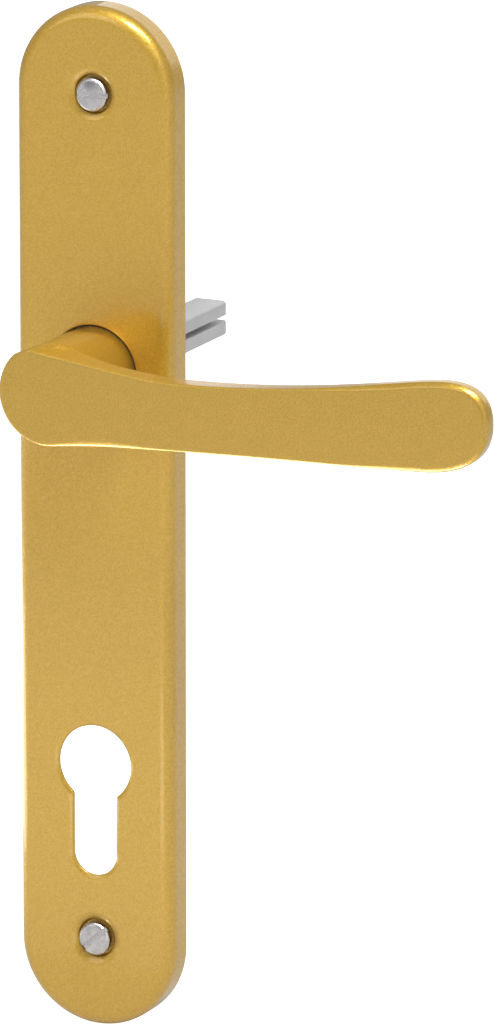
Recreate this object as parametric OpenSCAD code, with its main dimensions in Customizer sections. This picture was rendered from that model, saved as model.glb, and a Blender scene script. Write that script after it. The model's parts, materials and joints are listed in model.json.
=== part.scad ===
// Lever handle set on a long backplate, for a mortice lock with a euro profile cylinder.
// Origin on the lever's axis at the door face. -Y points out of the door, +Z is up,
// and the lever points along +X. All sizes are in millimetres.

/* [Backplate] */
// Width of the backplate
plate_w = 38; // [37:0.5:42]
// Height of the backplate's top above the lever axis
plate_top = 82; // [78:1:95]
// Depth of the backplate's foot below the lever axis
plate_foot = 151; // [148:1:165]
// Overall thickness of the backplate, from the door face to its front
plate_t = 8; // [8:0.25:9]
// Thickness of the pressed sheet
sheet = 1; // [0.8:0.1:1.1]
// Outer radius pressed along the front edge
edge_r = 3; // [2.5:0.25:3.5]

/* [Cylinder cutout] */
// Distance from the lever axis down to the cylinder's axis
centres = 90; // [88:1:92]
// Diameter of the round part of the cutout
euro_d = 17.7; // [17.2:0.1:18]
// Width of the straight part of the cutout
euro_w = 10.6; // [10.2:0.1:11]
// Depth of the cutout's foot below the cylinder's axis
euro_foot = 25.8; // [25:0.1:27]
// Radius rolled round the cutout's front edge
euro_lip = 0.4; // [0.2:0.1:0.5]

/* [Fixing screws] */
// Height of the upper screw above the lever axis
screw_up = 62.5; // [60:0.5:66]
// Depth of the lower screw below the lever axis
screw_down = 130.5; // [128:0.5:132]
// Diameter of the thread
screw_d = 4; // [4:0.5:5]
// Length of the screw under its head
screw_len = 30; // [25:5:45]
// Diameter of the slotted head
head_d = 7.5; // [7:0.1:8]
// How far the head stands in front of the backplate
head_proud = 0.9; // [0.5:0.1:1.2]
// Diameter of the pressed dimple round each head
dimple_d = 8.9; // [8.6:0.1:9.4]
// Depth of the dimple's floor behind the backplate's front
dimple_deep = 2.2; // [1.8:0.1:2.6]
// Turn of the upper screw's slot from level
slot_turn_up = 0; // [-90:5:90]
// Turn of the lower screw's slot from level
slot_turn_down = 42; // [-90:1:90]

/* [Lever] */
// Diameter of the neck
neck_d = 20.4; // [20:0.1:20.6]
// How far the grip's front face stands in front of the backplate
reach = 24.5; // [22:0.5:30]
// Thickness of the grip
grip_t = 5.5; // [5:0.25:6.5]
// Radius of the round end of the grip over the neck
grip_end_r = 10.9; // [10.9:0.1:11.5]
// Distance from the lever axis to the grip's tip
grip_len = 106; // [100:0.1:115]
// Rounding of the grip's front edge
grip_edge = 1.4; // [1:0.1:1.8]
// Angle the lever turns down
lever_turn = 45; // [30:5:45]

/* [Spindle] */
// Width across the flats of the square spindle
spindle_w = 8; // [8:1:8]
// How far the spindle stands behind the door face
spindle_out = 53.5; // [45:0.5:60]
// Width of the saw cut in the spindle's end
split_w = 1.5; // [1:0.1:2]
// Length of the saw cut
split_len = 40; // [30:1:45]

/* [Hidden] */

$fn = 96;
eps = 0.01;
gold = "#c9a24a";
zinc = "#b9b9bd";
nylon = "#55585c";
steel = "#8d9096";

// Front of the backplate and the back of its sheet, as Y
front_y = -plate_t;
sheet_y = front_y + sheet;

// Room left between the pressed cover and the nylon base inside it
fit_gap = 0.2;
base_w = plate_w - 2 * (sheet + fit_gap);
base_front = sheet_y + 0.1;
corner_gap = 1.2;
web_t = 1.4;
rim_t = 2;
rib_t = 1.2;
rib_low = 0.4;
rib_side = 7;
rib_levels = [72, 53, 44, 35, -33, -43, -53, -63, -122, -138];
boss_r = 6.6;
room_gap = 4.6;
room_wall = 1.2;

// The neck ends just inside the sheet, and a thinner spigot carries it through the cassette
neck_hole_d = 21;
neck_end = sheet_y - 0.35;
spigot_d = 16;
spigot_end = -0.2;
flat_w = 13;
flat_from = -3.3;
groove_d = 14.8;
groove_from = -4.46;
groove_to = -3.44;

// Cassette, front to back
cup_r = 16.5;
cup_wall = 0.8;
lid_t = 0.6;
lid_front = -6.31;
lid_back = lid_front + lid_t;
lid_gap = 0.02;
pocket_r = 16.75;
ear_z = 21;
ear_w = 12;
ear_room = 5.6;
post_d = 3;
stake_d = 4.6;

// Screws: a thinner shank inside the backplate, and a thread that starts behind the door face
shank_d = 3.4;
thread_from = 0.4;

// Return spring
wire_d = 1.3;
coil_r = 12.1;
coil_front = -5;
coil_back = -3.1;
leg_r = 14.9;
anchor_at = 215;

// Driver and the pins it stops against; angles are counted from +X towards +Z
driver_front = -2.3;
driver_t = 1.2;
driver_r = 12.9;
lug_at = 90;
lug_half = 8;
lug_in = 13.6;
lug_out = 15.4;
pin_r = 0.8;
pin_ring = 14.6;
pin_half = asin(pin_r / pin_ring);
stop_gap = 0.4;
rest_pin = lug_at + lug_half + pin_half + stop_gap;
end_pin = lug_at - lug_half - lever_turn - pin_half - stop_gap;

// Spindle socket and grub screw in the neck
socket_gap = 0.05;
spindle_in = -23;
socket_end = spindle_in - 0.5;
grub_y = -16;
grub_d = 6;
grub_gap = 0.03;
grub_len = 5.6;
hex_af = 3;

// ---- helpers ----

// Point on a cubic curve through p[0] and p[3], steered by p[1] and p[2]
function curve_at(p, t) =
    p[0] * pow(1 - t, 3) + p[1] * 3 * t * pow(1 - t, 2)
    + p[2] * 3 * t * t * (1 - t) + p[3] * pow(t, 3);

// n points along a cubic curve, without its last one
function curve(p, n) = [for (i = [0:n - 1]) curve_at(p, i / n)];

// n points along an arc from angle a to b, without its last one
function arc(c, r, a, b, n) =
    [for (i = [0:n - 1]) let (w = a + (b - a) * i / n) c + r * [cos(w), sin(w)]];

// Stands a shape drawn with Z as its height on the door face, so that it grows along -Y
module out_of_door() {
    rotate([90, 0, 0]) children();
}

// A round bar along Y, from y0 to y1
module y_bar(d, y0, y1) {
    translate([0, y1, 0]) out_of_door() cylinder(d = d, h = y1 - y0);
}

// Quarter round of radius r from the front at x to the side, as points of [x, depth]
function roll(x, r, n) =
    [for (i = [0:n]) let (w = 90 * i / n) [x + r - r * sin(w), r - r * cos(w)]];

// ---- backplate ----

// Half section of a tray: half width w, height h, front edge rounded by r, as [x, height]
function tray_section(w, h, r) =
    concat([[0, 0], [w, 0]],
        [for (i = [0:8]) let (a = 90 * i / 8) [w - r + r * cos(a), h - r + r * sin(a)]],
        [[0, h]]);

// A long block with round ends and a rounded front edge
module tray_block(w, top, foot, h, r) {
    half = tray_section(w / 2, h, r);
    whole = concat(half, [for (i = [len(half) - 2:-1:2]) [-half[i][0], half[i][1]]],
        [[-w / 2, 0]]);
    straight = top + foot - w;
    translate([0, 0, w / 2 - foot]) mirror([0, 1, 0]) linear_extrude(straight)
        polygon(whole);
    translate([0, 0, top - w / 2]) out_of_door() rotate_extrude(angle = 180)
        polygon(half);
    translate([0, 0, w / 2 - foot]) rotate([0, 180, 0]) out_of_door()
        rotate_extrude(angle = 180) polygon(half);
}

// Everything cut away by a pressed dimple, at the plate's front
module dimple_cut(lip) {
    r = dimple_d / 2;
    translate([0, front_y, 0]) rotate([-90, 0, 0]) rotate_extrude()
        polygon(concat([[0, -1], [r + lip, -1]], roll(r, lip, 6),
            [[r, dimple_deep], [0, dimple_deep]]));
}

// The euro outline from depth a to depth b behind the front, widened by grow
module euro_cut(a, b, grow) {
    w = euro_w / 2 + grow;
    translate([0, front_y + b, 0]) out_of_door() linear_extrude(b - a) union() {
        circle(r = euro_d / 2 + grow);
        translate([-w, -euro_foot + euro_w / 2]) square([2 * w, euro_foot - euro_w / 2]);
        translate([0, -euro_foot + euro_w / 2]) circle(r = w);
    }
}

// The roll round the cutout's front edge, as chamfers that follow its outline
module euro_roll() {
    w = euro_w / 2;
    zf = -euro_foot + w;
    translate([0, front_y - eps, 0]) rotate([-90, 0, 0])
        cylinder(r1 = euro_d / 2 + euro_lip + eps, r2 = euro_d / 2 - eps, h = euro_lip + 2 * eps);
    translate([0, front_y - eps, zf]) rotate([-90, 0, 0])
        cylinder(r1 = w + euro_lip + eps, r2 = w - eps, h = euro_lip + 2 * eps);
    translate([0, 0, zf]) linear_extrude(-zf)
        polygon([[-w - euro_lip - eps, front_y - eps], [w + euro_lip + eps, front_y - eps],
            [w - eps, front_y + euro_lip + eps], [-w + eps, front_y + euro_lip + eps]]);
}

// Pressed metal cover, with the neck hole, the cylinder cutout and two dimpled screw holes
module cover_plate() {
    color(gold) difference() {
        union() {
            difference() {
                tray_block(plate_w, plate_top, plate_foot, plate_t, edge_r);
                translate([0, 1, 0])
                    tray_block(plate_w - 2 * sheet, plate_top - sheet, plate_foot - sheet,
                        plate_t - sheet + 1, edge_r - sheet);
            }
            for (z = [screw_up, -screw_down]) translate([0, 0, z])
                y_bar(dimple_d + 2 * sheet, sheet_y - eps, front_y + dimple_deep + sheet);
        }
        translate([0, 0, screw_up]) dimple_cut(0.8);
        translate([0, 0, -screw_down]) dimple_cut(1.6);
        for (z = [screw_up, -screw_down]) translate([0, 0, z])
            y_bar(screw_d + 0.8, front_y, 0);
        y_bar(neck_hole_d, front_y - 1, 0);
        translate([0, 0, -centres]) {
            euro_cut(-1, plate_t, 0);
            euro_roll();
        }
    }
}

// Outline of the base inside the cover, shrunk by inset
module base_outline(inset) {
    w = base_w / 2 - inset;
    top = plate_top - sheet - fit_gap - base_w / 2;
    foot = plate_foot - sheet - fit_gap - base_w / 2;
    translate([-w, -foot]) square([2 * w, top + foot]);
    translate([0, top]) circle(r = w);
    translate([0, -foot]) circle(r = w);
}

// Room kept clear behind the cylinder cutout, wide enough to stay out of sight
module euro_room(grow) {
    translate([0, -centres]) {
        circle(r = euro_d / 2 + grow);
        translate([-euro_w / 2 - grow, -euro_foot - grow + 1.6])
            square([euro_w + 2 * grow, euro_foot + grow - 1.6]);
    }
}

// Extrudes a flat outline drawn as [x, z] between two depths
module slab(y0, y1) {
    translate([0, y1, 0]) out_of_door() linear_extrude(y1 - y0) children();
}

// Ribs across and along the base, as a flat outline
module base_ribs() {
    for (z = rib_levels) translate([-base_w / 2, z - rib_t / 2]) square([base_w, rib_t]);
    for (s = [-1, 1]) translate([s * rib_side - rib_t / 2, rib_levels[len(rib_levels) - 1]])
        square([rib_t, rib_levels[0] - rib_levels[len(rib_levels) - 1]]);
}

// Moulded base: a web under the cover, and a rim, ribs and bosses that stand on the door
module base_plate() {
    ends = [screw_up, -screw_down];
    color(nylon) difference() {
        union() {
            slab(base_front, base_front + web_t) base_outline(corner_gap);
            slab(base_front + 1.2, 0) difference() {
                base_outline(0);
                base_outline(rim_t);
            }
            slab(base_front + web_t - 0.5, -rib_low) intersection() {
                base_outline(rim_t / 2);
                base_ribs();
            }
            slab(base_front + web_t - 0.5, 0) euro_room(room_gap + room_wall);
            slab(base_front + 1.2, 0) intersection() {
                base_outline(rim_t / 2);
                translate([-base_w / 2, -ear_z - 5]) square([base_w, 2 * ear_z + 10]);
            }
            for (z = ends) translate([0, 0, z]) y_bar(2 * boss_r, base_front + 1, 0);
            for (s = [-1, 1]) translate([0, 0, s * ear_z]) {
                y_bar(post_d, lid_front - 0.3, lid_back + 1);
                y_bar(stake_d, lid_front - 0.5, lid_front - 0.02);
            }
        }
        slab(base_front - 1, 1) {
            circle(r = pocket_r);
            euro_room(room_gap);
        }
        for (s = [-1, 1]) translate([0, 0, s * ear_z]) difference() {
            translate([-base_w, base_front - 1, -ear_room])
                cube([2 * base_w, lid_back + lid_gap - base_front + 1, 2 * ear_room]);
            y_bar(post_d, lid_front - 0.3, 0);
            y_bar(stake_d, lid_front - 0.5, lid_front - 0.02);
        }
        for (z = ends) translate([0, 0, z]) {
            y_bar(dimple_d + 2 * sheet + 0.8, base_front - 1, front_y + dimple_deep + sheet + 0.05);
            y_bar(screw_d + 0.6, front_y, 1);
            y_bar(9.4, -1.4, 1);
        }
    }
}

// ---- spring cassette ----

// Pressed cup that holds the spring, flush with the door face
module cassette_cup() {
    color(steel) difference() {
        y_bar(2 * cup_r, lid_back + lid_gap, 0);
        y_bar(2 * (cup_r - cup_wall), lid_back - 1, -cup_wall);
        y_bar(spigot_d + 0.8, -cup_wall - 1, 1);
        for (a = [rest_pin, end_pin, anchor_at]) rotate([0, -a, 0])
            translate([pin_ring, 0, 0]) y_bar(2 * pin_r + 0.04, -cup_wall - 1, 1);
    }
}

// Lid of the cassette, with two ears staked to the base
module cassette_lid() {
    color(steel) slab(lid_front, lid_back) difference() {
        union() {
            circle(r = cup_r);
            translate([-ear_w / 2, -ear_z - 3.6]) square([ear_w, 2 * ear_z + 7.2]);
        }
        circle(d = 19.3);
        for (s = [-1, 1]) translate([0, s * ear_z]) circle(d = post_d + 0.1);
    }
}

// Pins across the cassette: the lever's rest stop, its end stop and the spring's anchor
module stop_pins() {
    color(zinc) for (a = [rest_pin, end_pin, anchor_at]) rotate([0, -a, 0])
        translate([pin_ring, 0, 0]) y_bar(2 * pin_r, lid_back + 0.03, 0);
}

// Flanged plastic bush in which the spigot turns
module neck_bush() {
    bore = spigot_d + 0.1;
    color(nylon) difference() {
        union() {
            y_bar(26, sheet_y + 0.04, lid_front - 0.02);
            y_bar(19.1, lid_front - 0.03, -4.9);
        }
        y_bar(bore, sheet_y - 1, 0);
    }
}

// Thin plastic washer between the neck's shoulder and the bush
module thrust_washer() {
    color("white") difference() {
        y_bar(neck_d - 0.4, neck_end + 0.02, sheet_y + 0.02);
        y_bar(spigot_d + 0.3, neck_end - 1, 0);
    }
}

// Angle and depth along the spring's coil, u from 0 at the anchor leg to 1 at the driver leg
anchor_leg = anchor_at + pin_half + 3.2;
driver_leg = lug_at - lug_half - 3.2;
coil_sweep = driver_leg - anchor_leg + 360 * 2;
function coil_point(u) =
    let (a = anchor_leg + coil_sweep * u)
    [coil_r * cos(a), coil_front + (coil_back - coil_front) * u, coil_r * sin(a)];
function leg_point(a, r, y) = [r * cos(a), y, r * sin(a)];

// Return spring: a coil of round wire whose two legs are bent outwards
module return_spring() {
    steps = 60;
    sides = 10;
    bend = coil_r + 0.9;
    path = concat(
        [leg_point(anchor_leg, leg_r, coil_front), leg_point(anchor_leg, bend, coil_front)],
        [for (i = [3:steps - 3]) coil_point(i / steps)],
        [leg_point(driver_leg, bend, coil_back), leg_point(driver_leg, leg_r, coil_back)]);
    n = len(path);
    rings = [for (i = [0:n - 1])
        let (t = path[min(i + 1, n - 1)] - path[max(i - 1, 0)],
            across = cross(t, [0, 1, 0]) / norm(cross(t, [0, 1, 0])),
            up = cross(across, t) / norm(cross(across, t)))
        for (k = [0:sides - 1]) let (w = 360 * k / sides)
            path[i] + wire_d / 2 * (across * cos(w) + up * sin(w))];
    walls = [for (i = [0:n - 2]) for (k = [0:sides - 1]) let (m = (k + 1) % sides)
        [i * sides + k, i * sides + m, (i + 1) * sides + m, (i + 1) * sides + k]];
    caps = [[for (k = [sides - 1:-1:0]) k], [for (k = [0:sides - 1]) (n - 1) * sides + k]];
    color(steel) polyhedron(rings, concat(walls, caps), convexity = 6);
}

// ---- fixings ----

// Slotted cheese-head screw standing in its dimple
module fixing_screw(turn) {
    seat = front_y + dimple_deep;
    head_top = front_y - head_proud;
    r = head_d / 2;
    bevel = 0.55;
    slot_w = 1.15;
    slot_deep = 1.2;
    thread_top = seat - thread_from;
    color(zinc) difference() {
        translate([0, seat, 0]) rotate([90, 0, 0]) rotate_extrude()
            polygon([[0, -screw_len], [screw_d / 2 - 0.5, -screw_len],
                [screw_d / 2, 0.5 - screw_len], [screw_d / 2, thread_top - 0.3],
                [shank_d / 2, thread_top], [shank_d / 2, 0], [r, 0],
                [r, seat - head_top - bevel], [r - bevel, seat - head_top],
                [0, seat - head_top]]);
        rotate([0, -turn, 0]) translate([-head_d, head_top - 1, -slot_w / 2])
            cube([2 * head_d, 1 + slot_deep, slot_w]);
    }
}
module upper_fixing_screw() { translate([0, 0, screw_up]) fixing_screw(slot_turn_up); }
module lower_fixing_screw() { translate([0, 0, -screw_down]) fixing_screw(slot_turn_down); }

// Push-on washer that keeps a screw in the plate until it is fitted
module screw_washer() {
    color("white") difference() {
        y_bar(9, -1.3, -0.3);
        y_bar(shank_d + 0.06, -2, 1);
    }
}
module upper_screw_washer() { translate([0, 0, screw_up]) screw_washer(); }
module lower_screw_washer() { translate([0, 0, -screw_down]) screw_washer(); }

// ---- lever ----

grip_front = front_y - reach;
grip_back = grip_front + grip_t;
grip_mid = [0, -0.1];
grip_back_edge = 0.3;
tip = [grip_len, 3.1];
waist = [36.5, 5.7];
crest = [93.5, 12.1];
belly = [89.3, -8.2];

// Outline of the grip as [x, z], anticlockwise from its upper edge over the neck
grip_outline = concat(
    arc(grip_mid, grip_end_r, 70, 274, 26),
    curve([grip_mid + grip_end_r * [cos(274), sin(274)], [24.8, -9.3], [64.1, -8.8], belly], 12),
    curve([belly, [102.5, -7.9], tip - [0, 5.9], tip], 10),
    curve([tip, tip + [0, 6.9], [101.7, 12.9], crest], 10),
    curve([crest, [84.6, 11.4], [64.5, 6.5], waist], 10),
    curve([waist, [22.5, 5.2], [12.7, 6.9], grip_mid + grip_end_r * [cos(70), sin(70)]], 10));

// Outward normal of the outline at point i
function grip_normal(i) =
    let (n = len(grip_outline), t = grip_outline[(i + 1) % n] - grip_outline[(i + n - 1) % n])
    [t[1], -t[0]] / norm(t);

// The outline shrunk by inset, at depth y
function grip_ring(inset, y) =
    [for (i = [0:len(grip_outline) - 1]) let (q = grip_outline[i] - inset * grip_normal(i))
        [q[0], y, q[1]]];

// Flat grip with rounded edges
module grip() {
    n = len(grip_outline);
    steps = 4;
    rings = concat(
        [for (i = [0:steps]) let (a = 90 * i / steps)
            grip_ring(grip_edge * (1 - sin(a)), grip_front + grip_edge * (1 - cos(a)))],
        [for (i = [0:steps]) let (a = 90 * i / steps)
            grip_ring(grip_back_edge * (1 - cos(a)), grip_back - grip_back_edge * (1 - sin(a)))]);
    m = len(rings);
    walls = [for (j = [0:m - 2]) for (i = [0:n - 1]) let (k = (i + 1) % n)
        each [[j * n + i, j * n + k, (j + 1) * n + k],
            [j * n + i, (j + 1) * n + k, (j + 1) * n + i]]];
    caps = [[for (i = [n - 1:-1:0]) i], [for (i = [0:n - 1]) (m - 1) * n + i]];
    polyhedron([for (r = rings) each r], concat(walls, caps), convexity = 4);
}

// The lever, cast in one piece: grip, neck and turned spigot
module lever_handle() {
    color(gold) difference() {
        union() {
            grip();
            y_bar(neck_d, grip_back - 2.5, neck_end);
            y_bar(spigot_d, neck_end - 1, spigot_end);
        }
        difference() {
            y_bar(spigot_d + 2, groove_from, groove_to);
            y_bar(groove_d, groove_from - 1, groove_to + 1);
        }
        for (s = [0, 180]) rotate([0, s, 0])
            translate([-spigot_d, flat_from, flat_w / 2]) cube([2 * spigot_d, 10, 10]);
        translate([-spindle_w / 2 - socket_gap, socket_end, -spindle_w / 2 - socket_gap])
            cube([spindle_w + 2 * socket_gap, 60, spindle_w + 2 * socket_gap]);
        translate([0, grub_y, -neck_d]) cylinder(d = grub_d + 2 * grub_gap, h = neck_d - 1);
    }
}

// Square spindle with bevelled ends and a level saw cut in its far end
module spindle() {
    bevel = 1;
    w = spindle_w / 2;
    color(zinc) difference() {
        intersection() {
            translate([-w, spindle_in, -w]) cube([2 * w, spindle_out - spindle_in, 2 * w]);
            translate([-w - 1, 0, 0]) rotate([90, 0, 90]) linear_extrude(2 * w + 2)
                spindle_side(w, bevel);
            translate([0, 0, -w - 1]) linear_extrude(2 * w + 2) mirror([1, -1, 0])
                spindle_side(w, bevel);
        }
        translate([-w - 1, spindle_out - split_len, -split_w / 2])
            cube([2 * w + 2, split_len + 1, split_w]);
    }
}

// Side view of the spindle as [y, z], with both ends bevelled
module spindle_side(w, bevel) {
    polygon([[spindle_in, bevel - w], [spindle_in + bevel, -w], [spindle_out - bevel, -w],
        [spindle_out, bevel - w], [spindle_out, w - bevel], [spindle_out - bevel, w],
        [spindle_in + bevel, w], [spindle_in, w - bevel]]);
}

// Socket set screw under the neck that holds the spindle
module spindle_grub_screw() {
    z_top = -spindle_w / 2 - 0.02;
    r = grub_d / 2;
    color(steel) translate([0, grub_y, z_top - grub_len]) difference() {
        rotate_extrude() polygon([[0, 0], [r - 0.4, 0], [r, 0.4], [r, grub_len - 1],
            [r - 1, grub_len], [0, grub_len]]);
        translate([0, 0, -1]) cylinder(d = hex_af / cos(30), h = 3.4, $fn = 6);
    }
}

// Driver keyed on the spigot's flats; its lug is bent forward between the stops
module spring_driver() {
    back = driver_front + driver_t;
    color(zinc) difference() {
        union() {
            y_bar(2 * driver_r, driver_front, back);
            intersection() {
                difference() {
                    y_bar(2 * lug_out, coil_front - 0.2, back);
                    y_bar(2 * driver_r - 1, coil_front - 2, driver_front);
                    y_bar(2 * lug_in, coil_front - 2, driver_front);
                }
                slab(-10, 0) polygon([[0, 0], leg_ray(lug_at - lug_half),
                    leg_ray(lug_at + lug_half)]);
            }
        }
        intersection() {
            y_bar(spigot_d + 0.1, driver_front - 1, 0);
            translate([-spigot_d, -10, -flat_w / 2 - 0.05])
                cube([2 * spigot_d, 20, flat_w + 0.1]);
        }
    }
}
function leg_ray(a) = 30 * [cos(a), sin(a)];

// Conical spring washer that takes up the lever's end play
module spring_washer() {
    r_in = spigot_d / 2 + 0.15;
    r_out = 9.3;
    t = 0.2;
    color(steel) translate([0, groove_from - 0.02, 0]) rotate([90, 0, 0]) rotate_extrude()
        polygon([[r_in, 0], [r_out, 0.17], [r_out, 0.17 + t], [r_in, t]]);
}

// Open retaining ring in the spigot's groove
module retaining_ring() {
    color(steel) slab(groove_from + 0.04, groove_to - 0.04) difference() {
        circle(r = 10.2);
        circle(d = groove_d + 0.06);
        translate([-2.4, -12]) square([4.8, 12]);
    }
}

cover_plate();
base_plate();
cassette_cup();
cassette_lid();
stop_pins();
neck_bush();
thrust_washer();
return_spring();
upper_fixing_screw();
lower_fixing_screw();
upper_screw_washer();
lower_screw_washer();
lever_handle();
spindle();
spindle_grub_screw();
spring_driver();
spring_washer();
retaining_ring();
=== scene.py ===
"""Looks of a lever handle set on a long backplate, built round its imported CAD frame."""

import json
import math

import bmesh
import bpy
from mathutils import Matrix, Vector

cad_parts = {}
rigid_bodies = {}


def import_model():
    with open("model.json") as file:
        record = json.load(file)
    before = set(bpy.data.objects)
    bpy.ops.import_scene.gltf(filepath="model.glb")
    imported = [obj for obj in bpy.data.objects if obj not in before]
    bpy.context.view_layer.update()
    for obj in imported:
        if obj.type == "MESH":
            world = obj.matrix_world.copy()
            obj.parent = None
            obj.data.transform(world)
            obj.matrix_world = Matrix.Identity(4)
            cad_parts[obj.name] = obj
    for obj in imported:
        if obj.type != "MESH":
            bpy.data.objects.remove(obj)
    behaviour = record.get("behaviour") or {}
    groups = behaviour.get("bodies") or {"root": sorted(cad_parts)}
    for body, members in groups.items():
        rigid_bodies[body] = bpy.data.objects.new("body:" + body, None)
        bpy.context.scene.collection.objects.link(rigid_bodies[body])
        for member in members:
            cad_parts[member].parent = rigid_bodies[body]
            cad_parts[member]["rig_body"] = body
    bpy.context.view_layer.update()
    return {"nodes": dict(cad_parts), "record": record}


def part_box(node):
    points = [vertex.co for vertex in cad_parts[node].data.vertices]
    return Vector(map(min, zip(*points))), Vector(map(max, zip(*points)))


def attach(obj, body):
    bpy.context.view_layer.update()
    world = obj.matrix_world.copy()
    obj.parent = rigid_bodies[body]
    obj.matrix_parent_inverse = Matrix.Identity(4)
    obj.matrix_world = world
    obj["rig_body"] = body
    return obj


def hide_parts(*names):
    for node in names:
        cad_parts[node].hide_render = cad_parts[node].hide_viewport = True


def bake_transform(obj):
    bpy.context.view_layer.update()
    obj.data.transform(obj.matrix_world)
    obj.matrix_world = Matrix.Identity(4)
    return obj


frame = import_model()

# Meshes are drawn in millimetres in the CAD frame and scaled to metres when they become pieces.
MM = 0.001
TAU = 2 * math.pi
SHARP_ANGLE = 32.0


def mm_box(node):
    """Lowest and highest corner of a CAD node, in millimetres."""
    low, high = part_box(node)
    return low / MM, high / MM


def mount_place(name):
    """Place of one of the record's mounts, in millimetres."""
    mount = next(m for m in frame["record"]["mounts"] if m["name"] == name)
    return Vector(mount["pos_m"]) / MM


# ---- sizes taken from the frame ----

plate_low, plate_high = mm_box("cover_plate")
HALF_W = (plate_high.x - plate_low.x) / 2
TOP_Z = plate_high.z - HALF_W
FOOT_Z = plate_low.z + HALF_W
FRONT_Y = plate_low.y
CYLINDER_Z = mount_place("cylinder_cutout").z
lever_low, lever_high = mm_box("lever_handle")
GRIP_FRONT = lever_low.y
SPIGOT_END = lever_high.y
spindle_low, spindle_high = mm_box("spindle")

# ---- sizes of the pressed cover, in millimetres ----

# EDGE_FLAT is an exponent: 1 makes an edge a plain round, 2 makes it a chamfer.
# HOLD is the gap to a second ring, which keeps flat faces shaded flat beside a rounded edge.
# HOLE_EDGE is the corner broken at the back of a pressed hole.

SHEET = 1.0
SHEET_Y = FRONT_Y + SHEET
EDGE_R = 3.0
EDGE_FLAT = 1.45
RIM_R = 0.18
HOLE_EDGE = 0.08
EURO_R = 8.85
EURO_HALF = 5.3
EURO_FOOT = -25.8
EURO_CORNER = 1.3
NECK_HOLE_R = 10.5
NECK_LIP = 0.4
DIMPLE_R = 4.45
DIMPLE_DEEP = 2.2
DIMPLE_BEND = 0.5
UPPER_DIMPLE_LIP = 1.5
LOWER_DIMPLE_LIP = 1.9
EURO_LIP = 0.95
LIP_SLOPE = 0.5
SCREW_R = 2.0
SCREW_HOLE_R = 2.4
HOLD = 0.35

# ---- sizes of the screws, the spindle and the spring, in millimetres; angles in degrees ----

PITCH = 0.7
THREAD_DEPTH = 0.43
THREAD_FROM = 0.4
SHANK_R = 1.7
THREAD_SIDES = 24
HEAD_SIDES = 72
HEAD_BEVEL = 0.5
HEAD_EDGE = 0.12
SHANK_FILLET = 0.15
SLOT_W = 1.15
SLOT_DEEP = 1.2
LOWER_SLOT_TURN = 42.0
BAR_CORNER = 0.8
BAR_TAPER = 1.0
SPLIT_W = 1.5
SPLIT_LEN = 40.0
WIRE_R = 0.65
WIRE_SIDES = 16
COIL_R = 12.1
COIL_BEND_R = 13.7
LEG_R = 14.9
COIL_FRONT = -5.0
COIL_BACK = -3.1
COIL_FROM = 221.3
COIL_SWEEP = 577.5

# ---- sizes of the lever, in millimetres; places are (x, z) and angles are in degrees ----

GRIP_T = 5.5
GRIP_BACK = GRIP_FRONT + GRIP_T
TIP = (lever_high.x, 3.1)
CREST = (93.5, 12.1)
WAIST = (36.5, 5.7)
BELLY = (89.3, -8.2)
BROW = (-3.9, 9.7)
HEAD_FRONT = (0.6, 0.0)
HEAD_FRONT_R = 11.55
HEAD_BACK_Z = -0.1
HEAD_BACK_R = 10.6
HEAD_JOWL = 0.3
HEAD_FROM = 135.0
HEAD_TO = 275.0
CHEEK_FROM = 70.0
FRONT_EDGE_MIN = 0.35
FRONT_EDGE_GAIN = 0.8
FRONT_EDGE_LOW = 0.58
CHIN_X = 13.0
CHIN_WIDTH = 11.0
CHIN_R = 1.1
BACK_EDGE_MIN = 0.06
BACK_EDGE_GAIN = 2.4
NECK_R = 10.2
NECK_FRONT_R = 10.42
NECK_SIDES = 96
NECK_EDGE = 0.35
NECK_END = SHEET_Y - 0.35
SPIGOT_R = 8.0
SPIGOT_BEVEL = 0.3
GROOVE_R = 7.4
GROOVE = (-4.46, -3.44)
FLATS_FROM = -3.3
FLAT_HALF = 6.5
SOCKET_HALF = 4.05
SOCKET_MOUTH = 0.25
SOCKET_END = spindle_low.y - 0.5
GRUB_Y = -16.0
GRUB_R = 3.03
GRUB_SINK = 1.35


# ---- outlines, as lists of (x, z) ----

def arc(centre, radius, start, end, count):
    """count + 1 points on an arc, with angles in degrees from +X towards +Z."""
    points = []
    for i in range(count + 1):
        a = math.radians(start + (end - start) * i / count)
        points.append((centre[0] + radius * math.cos(a), centre[1] + radius * math.sin(a)))
    return points


def line(start, end, count):
    """Points from start to end, without either end."""
    steps = [(i + 1) / (count + 1) for i in range(count)]
    return [(start[0] + (end[0] - start[0]) * t, start[1] + (end[1] - start[1]) * t) for t in steps]


def stadium(inset):
    """Outline of the plate with its round ends, anticlockwise, shrunk by inset."""
    around = 48
    along = 16
    r = HALF_W - inset
    head = arc((0, TOP_Z), r, 0, 180, around)
    tail = arc((0, FOOT_Z), r, 180, 360, around)
    return head + line(head[-1], tail[0], along) + tail + line(tail[-1], head[0], along)


def euro(grow):
    """Outline of the cylinder cutout, anticlockwise, with rounded inner corners, widened by grow."""
    smooth = 6
    straight = 6
    foot = EURO_FOOT + EURO_HALF
    reach = EURO_R + EURO_CORNER
    cx = EURO_HALF + EURO_CORNER
    cz = -math.sqrt(reach * reach - cx * cx)
    lean = math.degrees(math.atan2(cz, cx))
    corner = EURO_CORNER - grow
    points = arc((0, 0), EURO_R + grow, lean, 180 - lean, 60)
    points += arc((-cx, cz), corner, -lean, 0, smooth)[1:]
    points += line((-EURO_HALF - grow, cz), (-EURO_HALF - grow, foot), straight)
    points += arc((0, foot), EURO_HALF + grow, 180, 360, 30)
    points += line((EURO_HALF + grow, foot), (EURO_HALF + grow, cz), straight)
    points += arc((cx, cz), corner, 180, 180 + lean, smooth)[:-1]
    return [(x, z + CYLINDER_Z) for x, z in points]


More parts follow.
